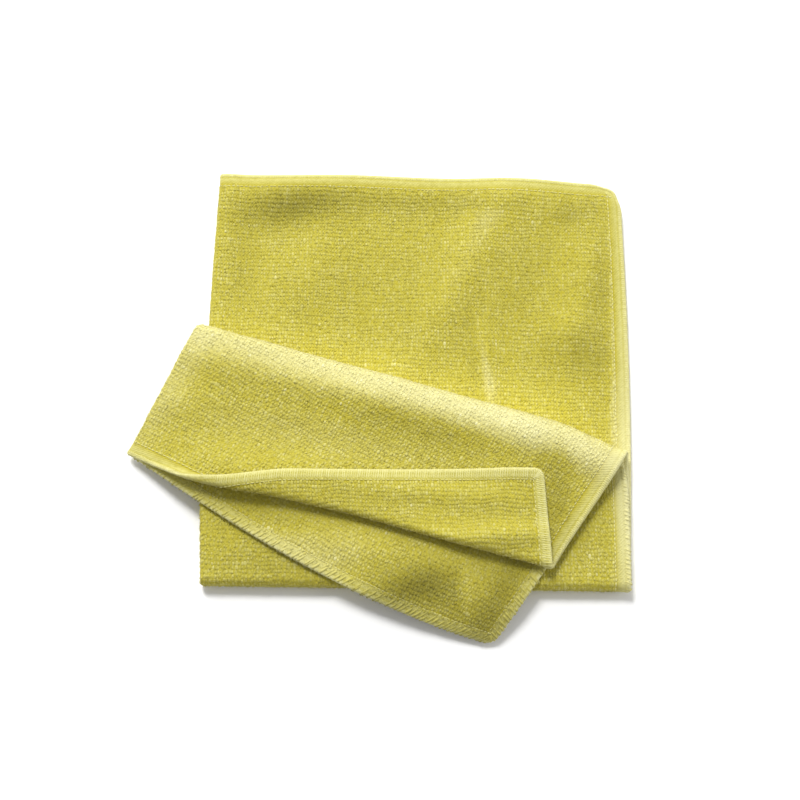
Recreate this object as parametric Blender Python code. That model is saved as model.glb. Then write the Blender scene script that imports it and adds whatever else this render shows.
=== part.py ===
"""A square microfibre cloth, folded by hand.

The panel is folded in half from the left and in half again from the bottom, which makes four layers.
The upper two layers are then turned down over a slanting crease, so that they hang past the left and
the bottom edge as a flap, and the free corner of the topmost layer is turned back up.

The cloth is modelled as it is made: a flat sheet, its middle surface, is cut along each crease and
wrapped over an axis above it, and a Solidify modifier gives the folded sheet its thickness.
Lengths are in metres. +X is to the right, +Y away from the free flap, and +Z up.
"""

import math

import bmesh
import bpy
import numpy as np
from mathutils import Matrix, Vector

MM = 0.001

# The panel, before it is folded
SIDE = 400 * MM
THICKNESS = 1.6 * MM
CORNER_RADIUS = 4.5 * MM
CORNER_CUTS = 3
GRID_CELL = 16 * MM
# The panel's middle from the point where its first two creases cross
PANEL_MIDDLE = (-3.3 * MM, 2 * MM)

# The stack: from the middle of one layer to the middle of the next
PITCH = 2.4 * MM
CREASE_STEPS = 6
# A cut passes through the points that lie this near it
SNAP = 0.08 * MM

# Radius of the layer that lies innermost in each crease
TIGHT_CREASE = PITCH / 2
FLAP_CREASE = 2.0 * MM
CORNER_CREASE = 2.0 * MM

# The flap's crease, seen from above: the height at which it meets the left edge, and its slant
FLAP_CREASE_Y = 113.8 * MM
FLAP_SLANT = math.radians(-14.9)
# The crease of the corner that is turned back up: a point on it, and its slant
CORNER_CREASE_AT = (0.0, 47.0 * MM)
CORNER_SLANT = math.radians(-13.7)

# From the point where the first two creases cross to the middle of the finished piece's footprint
FOOTPRINT_MIDDLE = (80.8 * MM, 86.75 * MM)

COLUMNS = ("layer", "left_x", "left_y", "right_x", "right_y", "bow", "low_x")
# How far the two layers of the flap are pulled out of square before they are turned down: their free
# edge at its left corner, at its right corner, and outwards between the two, and their lower right
PULLED = (
    (1, -2.0 * MM, 1.4 * MM, -9.0 * MM, -11.5 * MM, 4.8 * MM, 2.4 * MM),
    (2, -2.0 * MM, 1.4 * MM, -3.5 * MM, -5.5 * MM, -3.8 * MM, 0.0),
)
# The flap's crease is pulled past the left edge of the layers under it
CREASE_PULL = -6.0 * MM

# How the lower two layers stray from a square: their sides swell, and their top right corner drops
# and is tucked in
SIDES_SWELL = 2.2 * MM
TOP_DROP = 2.2 * MM
TOP_DROP_LENGTH = 45 * MM
TOP_RIPPLE = 0.3 * MM
TOP_RIPPLE_LENGTH = 75 * MM
TUCK = 2.3 * MM
TUCK_LENGTH = 14 * MM

# Where the flap hangs past the layers under it, it bends down to these radii
DROOP_LEFT = 95 * MM
DROOP_BOTTOM = 45 * MM
# How far the flap's right end is drawn down, from where, over what length, and how far before its
# crease the layers are drawn with it
END_DROP = 5 * MM
END_FROM = 163 * MM
END_LENGTH = 36 * MM
END_FADE = 30 * MM
# The turned corner's hem dips near its left end, and its crease bows upwards near the middle
CORNER_DIP = 3.2 * MM
DIP_FROM, DIP_RISE = -30 * MM, 26 * MM
DIP_END, DIP_FALL = 4 * MM, 36 * MM
CORNER_BOW = 1.2 * MM
BOW_MIDDLE, BOW_LENGTH, BOW_WIDTH = 72 * MM, 28 * MM, 10 * MM
# The length over which a loose crease flattens out to the pitch of the stack
FLAP_FLATTENS_OVER = 40 * MM
CORNER_FLATTENS_OVER = 28 * MM

YELLOW = (0.68, 0.62, 0.12)

RIDGE_COLUMNS = ("on", "x", "y", "slant", "length", "width", "height")
# Soft ridges in the cloth, seen from above: the middle of each, its slant, how far it fades along
# and across, and its height
RIDGES = (
    # Along the top hem, and higher near its left end
    ("base", 100 * MM, 195 * MM, math.radians(-2), 105 * MM, 11 * MM, 2.6 * MM),
    ("base", 36 * MM, 193 * MM, math.radians(8), 30 * MM, 11 * MM, 3.6 * MM),
    # Along the left fold
    ("base", 0 * MM, 158 * MM, math.radians(90), 52 * MM, 10 * MM, 3.1 * MM),
    # Broad folds across the base
    ("base", 40 * MM, 146 * MM, math.radians(62), 45 * MM, 18 * MM, 3.6 * MM),
    ("base", 116 * MM, 148 * MM, math.radians(62), 60 * MM, 14 * MM, 4.1 * MM),
    ("base", 180 * MM, 148 * MM, math.radians(74), 40 * MM, 12 * MM, 3.6 * MM),
    ("base", 172 * MM, 122 * MM, math.radians(0), 14 * MM, 11 * MM, 2.4 * MM),
    # A small upright crease
    ("base", 134 * MM, 108 * MM, math.radians(95), 20 * MM, 4.5 * MM, 2.2 * MM),
    # The swell under the flap's crease, and the one behind it
    ("base", 60 * MM, 98 * MM, math.radians(-15), 110 * MM, 14 * MM, 1.4 * MM),
    ("flap", 70 * MM, 86 * MM, math.radians(-13), 110 * MM, 8 * MM, 2.2 * MM),
    ("flap", 66 * MM, 78 * MM, math.radians(-10), 100 * MM, 16 * MM, 2.6 * MM),
    ("flap", 172 * MM, 60 * MM, math.radians(-15), 26 * MM, 8 * MM, 1.2 * MM),
    # Over the flap
    ("flap", 35 * MM, 48 * MM, math.radians(0), 50 * MM, 10 * MM, 2.4 * MM),
    ("flap", -16 * MM, 80 * MM, math.radians(0), 14 * MM, 9 * MM, 1.6 * MM),
    ("flap", 143 * MM, 50 * MM, math.radians(80), 30 * MM, 14 * MM, 2.7 * MM),
    ("flap", 72 * MM, 14 * MM, math.radians(-8), 26 * MM, 10 * MM, 2.2 * MM),
    ("flap", 118 * MM, -2 * MM, math.radians(-50), 26 * MM, 11 * MM, 3.2 * MM),
    # The gap that the turned corner leaves at its crease
    ("leaf", 20 * MM, 42 * MM, math.radians(-14), 40 * MM, 14 * MM, 1.0 * MM),
    # Over the turned corner
    ("corner", 108 * MM, 39 * MM, math.radians(-4), 42 * MM, 6 * MM, 2.0 * MM),
    ("corner", 132 * MM, 18.5 * MM, math.radians(4), 28 * MM, 5 * MM, 3.0 * MM),
)


def remove_everything():
    for found in list(bpy.data.objects):
        bpy.data.objects.remove(found, do_unlink=True)


def eased(distance, length):
    """0 up to the start, 1 from the given length on, and smooth between the two."""
    part = np.clip(distance / length, 0.0, 1.0)
    return part * part * (3.0 - 2.0 * part)


class Crease:
    """A crease: the line over which the sheet turns, its axis, and what turns over it."""

    def __init__(self, point, slant, axis_z, layers, above_z=-1.0):
        self.point = np.array(point)
        self.past = np.array((-math.sin(slant), math.cos(slant)))
        self.axis_z = axis_z
        self.layers = layers
        self.above_z = above_z

    def distance(self, places):
        """How far each place lies past the line, seen from above."""
        return (places[:, :2] - self.point) @ self.past

    def turns(self, places, panel):
        """Which points are turned over."""
        in_layers = np.isin(layer_of(panel), self.layers)
        return in_layers & (places[:, 2] > self.above_z) & (self.distance(places) > 0)

    def turned(self, places, panel):
        """Wraps what lies past the line over the axis; each layer keeps its own length."""
        moved = self.turns(places, panel)
        distance = self.distance(places)[moved]
        radius = self.axis_z - places[moved, 2]
        angle = np.minimum(distance / radius, math.pi)
        new_distance = radius * np.sin(angle) - (distance - angle * radius)
        result = places.copy()
        result[moved, :2] += (new_distance - distance)[:, None] * self.past
        result[moved, 2] = self.axis_z - radius * np.cos(angle)
        return result


def layer_of(panel):
    """The layer, counted from the top, that each point of the flat panel ends up in."""
    left = panel[:, 0] < 0
    lower = panel[:, 1] < 0
    return np.select([lower & ~left, lower & left, ~lower & left], [1, 2, 3], 4)


FROM_THE_LEFT = Crease((0, 0), math.radians(90), TIGHT_CREASE, (2, 3))
FROM_THE_BOTTOM = Crease((0, 0), math.radians(180), PITCH + TIGHT_CREASE, (1, 2))
FLAP_AXIS_Z = 3 * PITCH + FLAP_CREASE
THE_FLAP = Crease((0, FLAP_CREASE_Y), FLAP_SLANT, FLAP_AXIS_Z, (1, 2))
FLAP_UNDER_Z = 2 * FLAP_AXIS_Z - 3 * PITCH
TOPMOST_Z = 2 * FLAP_AXIS_Z - 2 * PITCH
THE_CORNER = Crease(
    CORNER_CREASE_AT, CORNER_SLANT + math.pi, TOPMOST_Z + CORNER_CREASE, (2,), FLAP_AXIS_Z
)
CREASES = (FROM_THE_LEFT, FROM_THE_BOTTOM, THE_FLAP, THE_CORNER)


def pulled_out_of_square(places, panel):
    """Shifts the four stacked layers sideways, as unevenly as a hand leaves them."""
    result = places.copy()
    layer = layer_of(panel)
    x, y = places[:, 0], places[:, 1]
    half = SIDE / 2
    across = np.clip(x / half, 0.0, 1.0)
    up = np.clip(y / half, 0.0, 1.0)

    lower_pair = layer >= 3
    swell = SIDES_SWELL * np.sin(math.pi * up) * (2.0 * across - 1.0)
    drop = TOP_DROP * eased(x - (half - TOP_DROP_LENGTH), TOP_DROP_LENGTH) * up**2
    ripple = TOP_RIPPLE * np.cos(2 * math.pi * x / TOP_RIPPLE_LENGTH) * up**4
    tuck = TUCK * eased(x + y - (SIDE - TUCK_LENGTH), TUCK_LENGTH)
    result[lower_pair, 0] += (swell - tuck)[lower_pair]
    result[lower_pair, 1] += (ripple - drop - tuck)[lower_pair]

    crease_y = FLAP_CREASE_Y + math.tan(FLAP_SLANT) * x
    below = np.clip(y / crease_y, 0.0, 1.0)
    above = np.clip((y - crease_y) / (half - crease_y), 0.0, None)
    crease_x = CREASE_PULL * (1.0 - across)
    for row in PULLED:
        pull = dict(zip(COLUMNS, row))
        here = layer == pull["layer"]
        edge_x = pull["left_x"] + (pull["right_x"] - pull["left_x"]) * across**3
        edge_y = pull["left_y"] + (pull["right_y"] - pull["left_y"]) * across**3
        edge_y += pull["bow"] * 4.0 * across * (1.0 - across)
        shift_x = crease_x * below * (1.0 - above) + edge_x * above**2
        shift_x += pull["low_x"] * across**3 * (1.0 - below**8)
        result[here, 0] += shift_x[here]
        result[here, 1] += (edge_y * above)[here]
    return result


def stacked(panel, creases):
    """Where points of the flat panel lie once so many of the creases are made."""
    places = panel.copy()
    for number, crease in enumerate(CREASES[:creases]):
        places = crease.turned(places, panel)
        if number == 1:
            places = pulled_out_of_square(places, panel)
    return places


def ridges(places, on):
    """The height of the soft ridges at each place."""
    height = np.zeros(len(places))
    for row in RIDGES:
        ridge = dict(zip(RIDGE_COLUMNS, row))
        if ridge["on"] != on:
            continue
        slant = ridge["slant"]
        dx = places[:, 0] - ridge["x"]
        dy = places[:, 1] - ridge["y"]
        along = (dx * math.cos(slant) + dy * math.sin(slant)) / ridge["length"]
        across = (dy * math.cos(slant) - dx * math.sin(slant)) / ridge["width"]
        height += ridge["height"] * np.exp(-(along**2) - across**2)
    return height


def folded(panel):
    """Where points of the flat panel lie in the folded cloth, settled under its own weight."""
    in_flap = THE_FLAP.turns(stacked(panel, 2), panel)
    in_corner = THE_CORNER.turns(stacked(panel, 3), panel)
    places = stacked(panel, 4)
    x, y, z = places.T.copy()

    # The flap's right end is drawn down, and with it what lies just under its crease
    before_crease = np.maximum(-THE_FLAP.distance(places), 0.0)
    drawn = np.where(in_flap, 1.0, 1.0 - eased(before_crease, END_FADE))
    drawn[layer_of(panel) > 2] = 0.0
    y -= END_DROP * drawn * eased(x - END_FROM, END_LENGTH)

    # The turned corner
    turned_past = eased(z - TOPMOST_Z, 2 * CORNER_CREASE)
    dip = eased(x - DIP_FROM, DIP_RISE) * (1.0 - eased(x - DIP_END, DIP_FALL))
    y -= np.where(in_corner, CORNER_DIP * dip * turned_past, 0.0)
    leaf = (layer_of(panel) == 2) & in_flap
    from_crease = THE_CORNER.distance(places) / BOW_WIDTH
    bow = CORNER_BOW * np.exp(-(((x - BOW_MIDDLE) / BOW_LENGTH) ** 2) - from_crease**2)
    y += np.where(leaf, bow, 0.0)

    rising = {
        "base": eased(z, PITCH),
        "flap": eased(z - 3 * PITCH, 2 * FLAP_CREASE),
        "leaf": eased(z - FLAP_UNDER_Z, PITCH),
        "corner": eased(z - TOPMOST_Z, 2 * CORNER_CREASE),
    }
    for on, share in rising.items():
        z += share * ridges(places, on)

    flap_slack = 2 * FLAP_CREASE - PITCH
    corner_slack = 2 * CORNER_CREASE - PITCH
    z[in_flap] -= flap_slack * eased(-THE_FLAP.distance(places), FLAP_FLATTENS_OVER)[in_flap]
    z[in_corner] -= (
        corner_slack * eased(-THE_CORNER.distance(places), CORNER_FLATTENS_OVER)[in_corner]
    )
    past_left = np.maximum(-x, 0)
    past_bottom = np.maximum(-y, 0)
    droop = past_left**2 / (2 * DROOP_LEFT) + past_bottom**2 / (2 * DROOP_BOTTOM)
    z[in_flap] -= droop[in_flap]
    return np.stack((x - FOOTPRINT_MIDDLE[0], y - FOOTPRINT_MIDDLE[1], z + THICKNESS / 2), axis=1)


def cut(sheet, faces, point, normal, **options):
    """Cuts the faces along a plane; a point this near the plane counts as on it."""
    edges = {edge for face in faces for edge in face.edges}
    verts = {vert for face in faces for vert in face.verts}
    bmesh.ops.bisect_plane(
        sheet,
        geom=list(verts) + list(edges) + list(faces),
        dist=SNAP,
        plane_co=point,
        plane_no=normal,
        **options,
    )


def flat_panel():
    """The flat sheet with its rounded corners, in square cells, cut where its layers part."""
    sheet = bmesh.new()
    cells = round(SIDE / GRID_CELL)
    bmesh.ops.create_grid(sheet, x_segments=cells, y_segments=cells, size=SIDE / 2)
    centre = SIDE / 2 - CORNER_RADIUS
    for quarter in range(4):
        middle = Matrix.Rotation(quarter * math.pi / 2, 3, "Z") @ Vector((centre, centre, 0))
        for step in range(1, CORNER_CUTS + 1):
            angle = math.pi / 2 * (quarter + step / (CORNER_CUTS + 1))
            outwards = Vector((math.cos(angle), math.sin(angle), 0))
            rim = middle + outwards * CORNER_RADIUS
            cut(sheet, sheet.faces[:], rim, outwards, clear_outer=True)
    bmesh.ops.translate(sheet, verts=sheet.verts, vec=(*PANEL_MIDDLE, 0))
    for normal in ((1, 0, 0), (0, 1, 0)):
        cut(sheet, sheet.faces[:], (0, 0, 0), normal)
    return sheet


def folded_sheet():
    """The folded cloth's middle surface, cut in steps of equal angle along each crease.

    A layer starts its turn on the crease's line and ends it pi radii later, so each cut is a slanting
    plane through the crease's axis.
    """
    sheet = flat_panel()
    on_panel = sheet.verts.layers.float_vector.new("panel")
    for vert in sheet.verts:
        vert[on_panel] = vert.co

    for number, crease in enumerate(CREASES):
        panel = np.array([vert[on_panel] for vert in sheet.verts])
        for vert, place in zip(sheet.verts, stacked(panel, number)):
            vert.co = place
        for step in range(CREASE_STEPS + 1):
            faces = []
            for face in sheet.faces:
                panel_middle = sum((vert[on_panel] for vert in face.verts), Vector()) / len(face.verts)
                in_layers = layer_of(np.array([panel_middle]))[0] in crease.layers
                if in_layers and face.calc_center_median().z > crease.above_z:
                    faces.append(face)
            slope = math.pi * step / CREASE_STEPS
            cut(sheet, faces, (*crease.point, crease.axis_z), (*crease.past, slope))

    panel = np.array([vert[on_panel] for vert in sheet.verts])
    for vert, place in zip(sheet.verts, folded(panel)):
        vert.co = place
    bmesh.ops.triangulate(sheet, faces=sheet.faces[:])
    return sheet


def microfibre():
    material = bpy.data.materials.new("yellow microfibre")
    material.use_nodes = True
    shader = material.node_tree.nodes["Principled BSDF"]
    shader.inputs["Base Color"].default_value = (*YELLOW, 1.0)
    shader.inputs["Roughness"].default_value = 0.95
    shader.inputs["Metallic"].default_value = 0.0
    return material


def add_cloth():
    sheet = folded_sheet()
    mesh = bpy.data.meshes.new("cloth")
    sheet.to_mesh(mesh)
    sheet.free()
    mesh.materials.append(microfibre())
    mesh.shade_smooth()
    cloth = bpy.data.objects.new("cloth", mesh)
    bpy.context.collection.objects.link(cloth)

    thickness = cloth.modifiers.new("thickness", "SOLIDIFY")
    thickness.thickness = THICKNESS
    thickness.offset = 0.0
    thickness.use_even_offset = True
    return cloth


def main():
    remove_everything()
    add_cloth()


main()
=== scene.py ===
"""The looks of the folded microfibre cloth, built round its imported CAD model.

The cloth is folded here as it is in the CAD model, from a finer sheet: the same creases, sizes and
ridges, with a hem, smaller unevenness, pile loops and overlock thread added on that folded surface.
Lengths are in metres. +X is to the right, +Y away from the free flap, and +Z up.
"""

import math

import bmesh
import bpy
import numpy as np
from mathutils import Matrix, Vector
from mathutils.bvhtree import BVHTree


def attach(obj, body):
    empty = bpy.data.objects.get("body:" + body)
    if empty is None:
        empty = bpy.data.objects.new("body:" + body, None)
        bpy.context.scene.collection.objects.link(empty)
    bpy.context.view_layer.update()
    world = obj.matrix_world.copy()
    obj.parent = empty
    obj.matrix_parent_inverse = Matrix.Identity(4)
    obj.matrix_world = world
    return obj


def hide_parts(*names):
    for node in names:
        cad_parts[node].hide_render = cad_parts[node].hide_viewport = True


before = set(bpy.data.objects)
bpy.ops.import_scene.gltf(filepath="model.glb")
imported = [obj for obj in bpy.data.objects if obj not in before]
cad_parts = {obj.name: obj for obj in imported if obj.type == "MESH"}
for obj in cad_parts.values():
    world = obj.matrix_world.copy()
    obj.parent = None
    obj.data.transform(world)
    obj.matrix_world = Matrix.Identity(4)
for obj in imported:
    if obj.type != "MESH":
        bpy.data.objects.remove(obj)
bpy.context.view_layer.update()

MM = 0.001
RNG = np.random.default_rng(20)

# ---- The panel and its folds, as in the CAD model ----
SIDE = 400 * MM
CORNER_RADIUS = 4.5 * MM
PANEL_MIDDLE = (-3.3 * MM, 2 * MM)
CAD_THICKNESS = 1.6 * MM
PITCH = 2.4 * MM
TIGHT_CREASE = PITCH / 2
FLAP_CREASE = 2.0 * MM
CORNER_CREASE = 2.0 * MM
FLAP_CREASE_Y = 113.8 * MM
FLAP_SLANT = math.radians(-14.9)
CORNER_CREASE_AT = (0.0, 47.0 * MM)
CORNER_SLANT = math.radians(-13.7)
FOOTPRINT_MIDDLE = (80.8 * MM, 86.75 * MM)
COLUMNS = ("layer", "left_x", "left_y", "right_x", "right_y", "bow", "low_x")
PULLED = (
    (1, -2.0 * MM, 1.4 * MM, -9.0 * MM, -11.5 * MM, 4.8 * MM, 2.4 * MM),
    (2, -2.0 * MM, 1.4 * MM, -3.5 * MM, -5.5 * MM, -3.8 * MM, 0.0),
)
CREASE_PULL = -6.0 * MM
SIDES_SWELL = 2.2 * MM
TOP_DROP = 2.2 * MM
TOP_DROP_LENGTH = 45 * MM
TOP_RIPPLE = 0.3 * MM
TOP_RIPPLE_LENGTH = 75 * MM
TUCK = 2.3 * MM
TUCK_LENGTH = 14 * MM
DROOP_LEFT = 95 * MM
DROOP_BOTTOM = 45 * MM
END_DROP = 5 * MM
END_FROM = 163 * MM
END_LENGTH = 36 * MM
END_FADE = 30 * MM
CORNER_DIP = 3.2 * MM
DIP_FROM = -30 * MM
DIP_RISE = 26 * MM
DIP_END = 4 * MM
DIP_FALL = 36 * MM
CORNER_BOW = 1.2 * MM
BOW_MIDDLE = 72 * MM
BOW_LENGTH = 28 * MM
BOW_WIDTH = 10 * MM
FLAP_FLATTENS_OVER = 40 * MM
CORNER_FLATTENS_OVER = 28 * MM
RIDGE_COLUMNS = ("on", "x", "y", "slant", "length", "width", "height")
RIDGES = (
    # Along the top hem, and higher near its left end
    ("base", 100 * MM, 195 * MM, math.radians(-2), 105 * MM, 11 * MM, 2.6 * MM),
    ("base", 36 * MM, 193 * MM, math.radians(8), 30 * MM, 11 * MM, 3.6 * MM),
    # Along the left fold
    ("base", 0 * MM, 158 * MM, math.radians(90), 52 * MM, 10 * MM, 3.1 * MM),
    # Broad folds across the base
    ("base", 40 * MM, 146 * MM, math.radians(62), 45 * MM, 18 * MM, 3.6 * MM),
    ("base", 116 * MM, 148 * MM, math.radians(62), 60 * MM, 14 * MM, 4.1 * MM),
    ("base", 180 * MM, 148 * MM, math.radians(74), 40 * MM, 12 * MM, 3.6 * MM),
    ("base", 172 * MM, 122 * MM, math.radians(0), 14 * MM, 11 * MM, 2.4 * MM),
    # A small upright crease
    ("base", 134 * MM, 108 * MM, math.radians(95), 20 * MM, 4.5 * MM, 2.2 * MM),
    # The swell under the flap's crease, and the one behind it
    ("base", 60 * MM, 98 * MM, math.radians(-15), 110 * MM, 14 * MM, 1.4 * MM),
    ("flap", 70 * MM, 86 * MM, math.radians(-13), 110 * MM, 8 * MM, 2.2 * MM),
    ("flap", 66 * MM, 78 * MM, math.radians(-10), 100 * MM, 16 * MM, 2.6 * MM),
    ("flap", 172 * MM, 60 * MM, math.radians(-15), 26 * MM, 8 * MM, 1.2 * MM),
    # Over the flap
    ("flap", 35 * MM, 48 * MM, math.radians(0), 50 * MM, 10 * MM, 2.4 * MM),
    ("flap", -16 * MM, 80 * MM, math.radians(0), 14 * MM, 9 * MM, 1.6 * MM),
    ("flap", 143 * MM, 50 * MM, math.radians(80), 30 * MM, 14 * MM, 2.7 * MM),
    ("flap", 72 * MM, 14 * MM, math.radians(-8), 26 * MM, 10 * MM, 2.2 * MM),
    ("flap", 118 * MM, -2 * MM, math.radians(-50), 26 * MM, 11 * MM, 3.2 * MM),
    # The gap that the turned corner leaves at its crease
    ("leaf", 20 * MM, 42 * MM, math.radians(-14), 40 * MM, 14 * MM, 1.0 * MM),
    # Over the turned corner
    ("corner", 108 * MM, 39 * MM, math.radians(-4), 42 * MM, 6 * MM, 2.0 * MM),
    ("corner", 132 * MM, 18.5 * MM, math.radians(4), 28 * MM, 5 * MM, 3.0 * MM),
)

# ---- What the finer sheet adds ----
GRID_CELL = 2.5 * MM
CREASE_STEPS = 8
CORNER_CUTS = 7
SNAP = 0.05 * MM
# Grid lines this far in from the edge shape the hem
HEM_LINES = tuple(line * MM for line in (0.25, 0.7, 1.3, 1.9, 2.4, 2.9, 3.6, 4.8, 6.0, 7.4))
# Half the cloth's thickness between the loops and in the hem
HALF_GROUND = 0.62 * MM
HALF_HEM = 0.95 * MM
# Keeps the rounded edge from closing to nothing
LEAST_ROUNDING = 0.02
# Where the hem's thickness starts to fall to the ground's, and over what length: on the front, which
# is overlocked, and on the back, which is a smooth band with a groove
OVERLOCK_END = 5.0 * MM
OVERLOCK_FALL = 0.9 * MM
BAND_END = 1.6 * MM
BAND_FALL = 5.2 * MM
GROOVE_AT = 2.4 * MM
GROOVE_WIDTH = 0.6 * MM
GROOVE_DEPTH = 0.09 * MM
# Nothing of the cloth lies lower than this above the floor
FLOOR_GAP = 0.02 * MM

# Pile loops, one to each stitch of the knit
COLUMN_PITCH = 1.37 * MM
ROW_PITCH = 1.95 * MM
LOOP_LENGTH = 0.66 * MM
LOOP_WIDTH = 1.04 * MM
LOOP_HEIGHT = 0.22 * MM
LOOP_SIDES = 5
# The radius and the height of a loop's two rings of points, as shares of its size
LOOP_RINGS = ((1.0, -0.25), (0.80, 0.62))
# How much loops differ in size and in height, and between which limits
SIZE_SPREAD = 0.13
SIZE_LIMITS = (0.6, 1.4)
HEIGHT_SPREAD = 0.28
HEIGHT_LIMITS = (0.3, 1.8)
LOOPS_A_PIECE = 13000
# How far a loop strays from its stitch, and where the pile is brushed loose
JITTER = 0.10 * MM
BRUSHED_JITTER = 0.20 * MM
# How much the tone differs between rows, between columns and between loops
MIDDLE_TONE = 0.5
ROW_TONE = 0.06
COLUMN_TONE = 0.04
LOOP_TONE = 0.16
# The pile starts so far in on the back, which shows the hem's smooth band, and on the front; and on
# the front of the lower leaf, which the photograph shows with a coarser thread
PILE_FROM = {-1: 7.0 * MM, 1: 6.1 * MM}
PILE_FROM_COARSE = 4.4 * MM
# How unevenly it starts: for each loop, and in waves along the edge
START_SPREAD = 0.22 * MM
RAGGED = 0.3 * MM
RAGGED_UP = 1.1 * MM
RAGGED_DOWN = 1.9 * MM
# How far the knit's rows and columns wander, and over what lengths
WANDER = 0.38 * MM
WANDER_LENGTHS = (31 * MM, 17 * MM, 11 * MM)
# Loops are made where the cloth faces up at least this much, and where one of these rays, from so far
# above it, meets no cloth
LEAST_UP = -0.35
TEST_LIFT = 0.15 * MM
RAYS_ROUND = 6
RAY_LEAN = math.radians(55)
RAY_START = 0.3 * MM
RAY_LEAST_RISE = 0.05

# Loose fibres that stand out of the pile
FIBRES = 190000
FIBRE_LENGTH = 0.9 * MM
FIBRE_WIDTH = 0.10 * MM
FIBRE_LENGTHS = (0.4, 1.3)
FIBRE_OUTWARDS = (0.4, 1.8)
FIBRE_LEAST_RISE = 0.15
FIBRE_TONES = (0.35, 0.95)

# Soft patches where the cloth is painted darker or lighter: painted light and shade, in part also
# the way the pile lies. One kind of row adds a brighter yellow on the base: painted bounce light.
# The columns are those of the ridges, and the height is the share by which the tone changes
NAP_AND_PAINTED_LIGHT = (
    # Painted light and shade under the top hem, and painted shade in the hollow near its left end
    ("base", 110 * MM, 189 * MM, math.radians(-1), 100 * MM, 4 * MM, -0.08),
    ("base", 34 * MM, 184 * MM, math.radians(10), 26 * MM, 10 * MM, -0.30),
    ("base", 162 * MM, 187 * MM, math.radians(-8), 12 * MM, 3 * MM, 0.10),
    ("base", 172 * MM, 183 * MM, math.radians(0), 8 * MM, 5 * MM, -0.18),
    ("base", 11 * MM, 155 * MM, math.radians(90), 26 * MM, 7 * MM, -0.10),
    # Painted light and shade over the broad folds and between them
    ("base", 110 * MM, 150 * MM, math.radians(0), 120 * MM, 45 * MM, -0.075),
    ("base", 20 * MM, 10 * MM, math.radians(0), 30 * MM, 20 * MM, -0.05),
    ("base", 34 * MM, 4 * MM, math.radians(-8), 34 * MM, 8 * MM, -0.13),
    ("base", 176 * MM, 22 * MM, math.radians(0), 26 * MM, 18 * MM, -0.07),
    ("base", 121 * MM, 155 * MM, math.radians(63), 45 * MM, 7 * MM, 0.09),
    ("base", 134 * MM, 182 * MM, math.radians(40), 14 * MM, 7 * MM, 0.06),
    ("base", 150 * MM, 150 * MM, math.radians(65), 35 * MM, 10 * MM, -0.06),
    ("base", 180 * MM, 149 * MM, math.radians(75), 35 * MM, 5 * MM, 0.07),
    ("base", 192 * MM, 150 * MM, math.radians(90), 50 * MM, 16 * MM, -0.07),
    ("base", 183 * MM, 107 * MM, math.radians(0), 12 * MM, 9 * MM, -0.10),
    # Painted highlight on the small upright crease, and painted shade beside it
    ("base", 131 * MM, 108 * MM, math.radians(98), 22 * MM, 2.2 * MM, 0.12),
    ("base", 134 * MM, 94 * MM, math.radians(98), 10 * MM, 4 * MM, 0.08),
    ("base", 126 * MM, 110 * MM, math.radians(98), 20 * MM, 3 * MM, -0.07),
    # Painted bounce light on the base behind the flap's crease, and a painted highlight on the crease
    ("painted_bounce_light", 90 * MM, 98 * MM, math.radians(-15), 110 * MM, 12 * MM, 0.13),
    ("painted_bounce_light", 160 * MM, 84 * MM, math.radians(-15), 34 * MM, 14 * MM, 0.11),
    ("painted_bounce_light", 90 * MM, 92 * MM, math.radians(-15), 120 * MM, 6 * MM, 0.10),
    ("under", 80 * MM, 92 * MM, math.radians(-15), 130 * MM, 9 * MM, 0.22),
    ("leaf", 80 * MM, 92 * MM, math.radians(-15), 130 * MM, 9 * MM, 0.22),
    ("leaf", 150 * MM, 72 * MM, math.radians(-15), 50 * MM, 8 * MM, 0.05),
    # Painted light and shade over the flap, and painted shade in the pocket beside the turned corner
    ("leaf", 168 * MM, 62 * MM, math.radians(-15), 36 * MM, 12 * MM, 0.11),
    ("leaf", 50 * MM, 66 * MM, math.radians(-10), 60 * MM, 10 * MM, 0.03),
    ("leaf", 112 * MM, 66 * MM, math.radians(-15), 45 * MM, 6 * MM, -0.10),
    ("leaf", -16 * MM, 96 * MM, math.radians(60), 40 * MM, 8 * MM, 0.08),
    ("leaf", 164 * MM, 36 * MM, math.radians(90), 26 * MM, 8 * MM, -0.24),
    # Painted shade over the turned corner
    ("corner", 12 * MM, 40 * MM, math.radians(-14), 22 * MM, 5 * MM, -0.35),
    ("corner", 60 * MM, 31 * MM, math.radians(-8), 40 * MM, 4 * MM, -0.08),
    # Painted light and shade over the lower leaf
    ("under", 60 * MM, 14 * MM, math.radians(-10), 40 * MM, 14 * MM, 0.12),
    ("under", 20 * MM, 33 * MM, math.radians(-20), 40 * MM, 8 * MM, -0.10),
    ("under", 30 * MM, 16 * MM, math.radians(-28), 60 * MM, 4 * MM, 0.02),
    ("under", 106 * MM, -6 * MM, math.radians(-35), 70 * MM, 22 * MM, -0.09),
    ("under", 99 * MM, -4 * MM, math.radians(14), 24 * MM, 9 * MM, -0.46),
    ("under", 122 * MM, -6 * MM, math.radians(95), 12 * MM, 3 * MM, 0.12),
    ("under", 140 * MM, -4 * MM, math.radians(60), 28 * MM, 8 * MM, -0.32),
    # Painted light along the right hem
    ("base", 199 * MM, 130 * MM, math.radians(90), 90 * MM, 5 * MM, 0.12),
    ("base", 193.5 * MM, 130 * MM, math.radians(90), 80 * MM, 1.4 * MM, 0.12),
    ("base", 198 * MM, 30 * MM, math.radians(90), 40 * MM, 6 * MM, 0.22),
)

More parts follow.
